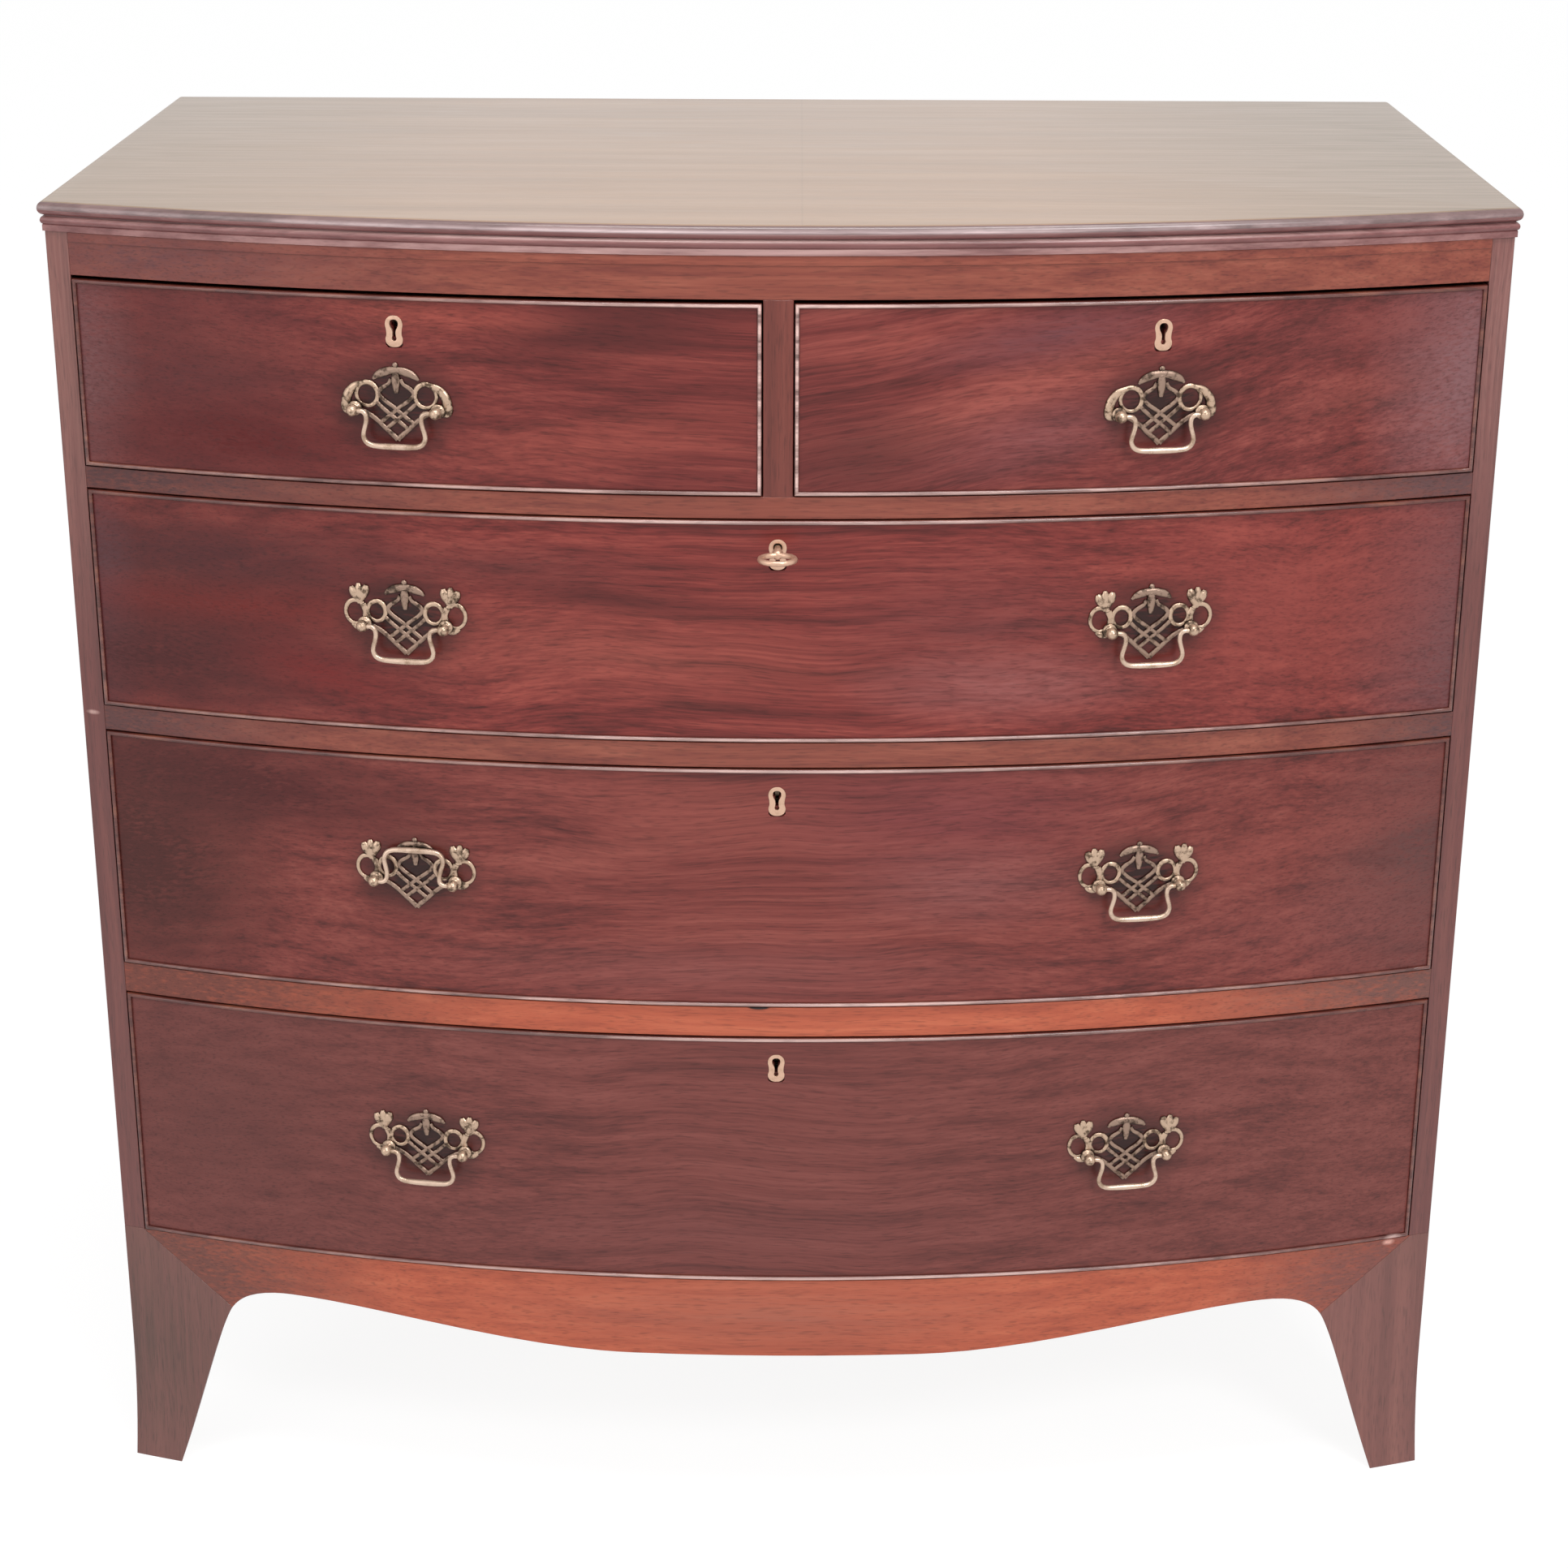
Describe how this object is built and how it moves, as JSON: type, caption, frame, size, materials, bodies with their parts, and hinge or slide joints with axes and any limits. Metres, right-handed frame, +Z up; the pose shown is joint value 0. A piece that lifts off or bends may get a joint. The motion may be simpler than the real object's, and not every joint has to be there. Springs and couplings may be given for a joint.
{
  "type": "bow front chest of drawers",
  "caption": "Mahogany chest with a bowed front, graduated cock-beaded drawers, pierced brass pulls with swinging bails, locks with a key, shaped apron and splayed feet.",
  "frame": {"origin": "on the floor under the middle of the whole object, key included", "axes": "+X to the right seen from the front, +Y from the front to the back, +Z up"},
  "size_m": [1.046, 0.6432, 1.0225],
  "materials": {
    "mahogany_figured": "French polished figured mahogany",
    "mahogany_red": "polished straight-grained mahogany",
    "mahogany_dark": "polished dark mahogany",
    "mahogany_bead": "rubbed mahogany bead",
    "oak": "plain unpolished oak",
    "pine": "plain unpolished pine",
    "brass": "old lacquered brass with dark recesses",
    "steel": "worn steel"
  },
  "bodies": {
    "carcass": {"top_board": "mahogany_red", "side_right": "mahogany_red", "side_left": "mahogany_red", "back_boards": "pine", "frieze_rail": "mahogany_red", "rail_upper": "mahogany_red", "rail_middle": "mahogany_red", "rail_lower": "mahogany_red", "muntin": "mahogany_red", "drawer_runners": "oak", "drawer_guide": "oak", "dust_boards": "pine", "drawer_stops": "oak", "bottom_board": "pine", "apron": "mahogany_red", "foot_front_right": "mahogany_dark", "foot_front_left": "mahogany_dark", "foot_back_right": "mahogany_dark", "foot_back_left": "mahogany_dark", "glue_blocks": "pine"},
    "drawer_upper_left": {"drawer_upper_left_front": "mahogany_figured", "drawer_upper_left_box": "oak", "drawer_upper_left_cock_beads": "mahogany_bead", "drawer_upper_left_lock": "brass", "drawer_upper_left_pulls": "brass"},
    "drawer_upper_right": {"drawer_upper_right_front": "mahogany_figured", "drawer_upper_right_box": "oak", "drawer_upper_right_cock_beads": "mahogany_bead", "drawer_upper_right_lock": "brass", "drawer_upper_right_pulls": "brass"},
    "drawer_long_top": {"drawer_long_top_front": "mahogany_figured", "drawer_long_top_box": "oak", "drawer_long_top_cock_beads": "mahogany_bead", "drawer_long_top_lock": "brass", "drawer_long_top_pulls": "brass"},
    "drawer_long_middle": {"drawer_long_middle_front": "mahogany_figured", "drawer_long_middle_box": "oak", "drawer_long_middle_cock_beads": "mahogany_bead", "drawer_long_middle_lock": "brass", "drawer_long_middle_pulls": "brass"},
    "drawer_long_bottom": {"drawer_long_bottom_front": "mahogany_figured", "drawer_long_bottom_box": "oak", "drawer_long_bottom_cock_beads": "mahogany_bead", "drawer_long_bottom_lock": "brass", "drawer_long_bottom_pulls": "brass"},
    "bolt_upper_left": {"drawer_upper_left_bolt": "steel"},
    "bolt_upper_right": {"drawer_upper_right_bolt": "steel"},
    "bolt_long_top": {"drawer_long_top_bolt": "steel"},
    "bolt_long_middle": {"drawer_long_middle_bolt": "steel"},
    "bolt_long_bottom": {"drawer_long_bottom_bolt": "steel"},
    "bail_upper_left": {"bail_upper_left": "brass"},
    "bail_upper_right": {"bail_upper_right": "brass"},
    "bail_long_top_left": {"bail_long_top_left": "brass"},
    "bail_long_top_right": {"bail_long_top_right": "brass"},
    "bail_long_middle_left": {"bail_long_middle_left": "brass"},
    "bail_long_middle_right": {"bail_long_middle_right": "brass"},
    "bail_long_bottom_left": {"bail_long_bottom_left": "brass"},
    "bail_long_bottom_right": {"bail_long_bottom_right": "brass"},
    "key": {"key": "brass"}
  },
  "joints": [
    {"name": "drawer_upper_left_slide", "type": "slide", "parent": "carcass", "child": "drawer_upper_left", "axis": [0, -1, 0], "range_m": [0, 0.38]},
    {"name": "drawer_upper_right_slide", "type": "slide", "parent": "carcass", "child": "drawer_upper_right", "axis": [0, -1, 0], "range_m": [0, 0.38]},
    {"name": "drawer_long_top_slide", "type": "slide", "parent": "carcass", "child": "drawer_long_top", "axis": [0, -1, 0], "range_m": [0, 0.38]},
    {"name": "drawer_long_middle_slide", "type": "slide", "parent": "carcass", "child": "drawer_long_middle", "axis": [0, -1, 0], "range_m": [0, 0.38]},
    {"name": "drawer_long_bottom_slide", "type": "slide", "parent": "carcass", "child": "drawer_long_bottom", "axis": [0, -1, 0], "range_m": [0, 0.38]},
    {"name": "bolt_upper_left_slide", "type": "slide", "parent": "drawer_upper_left", "child": "bolt_upper_left", "axis": [0, 0, 1], "range_m": [0, 0.008]},
    {"name": "bolt_upper_right_slide", "type": "slide", "parent": "drawer_upper_right", "child": "bolt_upper_right", "axis": [0, 0, 1], "range_m": [0, 0.008]},
    {"name": "bolt_long_top_slide", "type": "slide", "parent": "drawer_long_top", "child": "bolt_long_top", "axis": [0, 0, 1], "range_m": [0, 0.008]},
    {"name": "bolt_long_middle_slide", "type": "slide", "parent": "drawer_long_middle", "child": "bolt_long_middle", "axis": [0, 0, 1], "range_m": [0, 0.008]},
    {"name": "bolt_long_bottom_slide", "type": "slide", "parent": "drawer_long_bottom", "child": "bolt_long_bottom", "axis": [0, 0, 1], "range_m": [0, 0.008]},
    {"name": "bail_upper_left_hinge", "type": "hinge", "parent": "drawer_upper_left", "child": "bail_upper_left", "pos_m": [-0.26852, -0.26797, 0.8885], "axis": [-0.9872, 0.1597, 0], "range_deg": [0, 192]},
    {"name": "bail_upper_right_hinge", "type": "hinge", "parent": "drawer_upper_right", "child": "bail_upper_right", "pos_m": [0.26852, -0.26797, 0.8885], "axis": [-0.9872, -0.1597, 0], "range_deg": [0, 192]},
    {"name": "bail_long_top_left_hinge", "type": "hinge", "parent": "drawer_long_top", "child": "bail_long_top_left", "pos_m": [-0.26852, -0.26797, 0.7305], "axis": [-0.9872, 0.1597, 0], "range_deg": [0, 192]},
    {"name": "bail_long_top_right_hinge", "type": "hinge", "parent": "drawer_long_top", "child": "bail_long_top_right", "pos_m": [0.26852, -0.26797, 0.7305], "axis": [-0.9872, -0.1597, 0], "range_deg": [0, 192]},
    {"name": "bail_long_middle_left_hinge", "type": "hinge", "parent": "drawer_long_middle", "child": "bail_long_middle_left", "pos_m": [-0.26852, -0.26797, 0.533], "axis": [-0.9872, 0.1597, 0], "range_deg": [-192, 0]},
    {"name": "bail_long_middle_right_hinge", "type": "hinge", "parent": "drawer_long_middle", "child": "bail_long_middle_right", "pos_m": [0.26852, -0.26797, 0.533], "axis": [-0.9872, -0.1597, 0], "range_deg": [0, 192]},
    {"name": "bail_long_bottom_left_hinge", "type": "hinge", "parent": "drawer_long_bottom", "child": "bail_long_bottom_left", "pos_m": [-0.26852, -0.26797, 0.3105], "axis": [-0.9872, 0.1597, 0], "range_deg": [0, 192]},
    {"name": "bail_long_bottom_right_hinge", "type": "hinge", "parent": "drawer_long_bottom", "child": "bail_long_bottom_right", "pos_m": [0.26852, -0.26797, 0.3105], "axis": [-0.9872, -0.1597, 0], "range_deg": [0, 192]},
    {"name": "key_turn", "type": "hinge", "parent": "drawer_long_top", "child": "key", "pos_m": [0, -0.28005, 0.795], "axis": [0, -1, 0], "range_deg": [0, 180]}
  ],
  "couplings": [
    {"joint": "key_turn", "follows": "bolt_long_top_slide", "rad_per_m": 392.69}
  ]
}
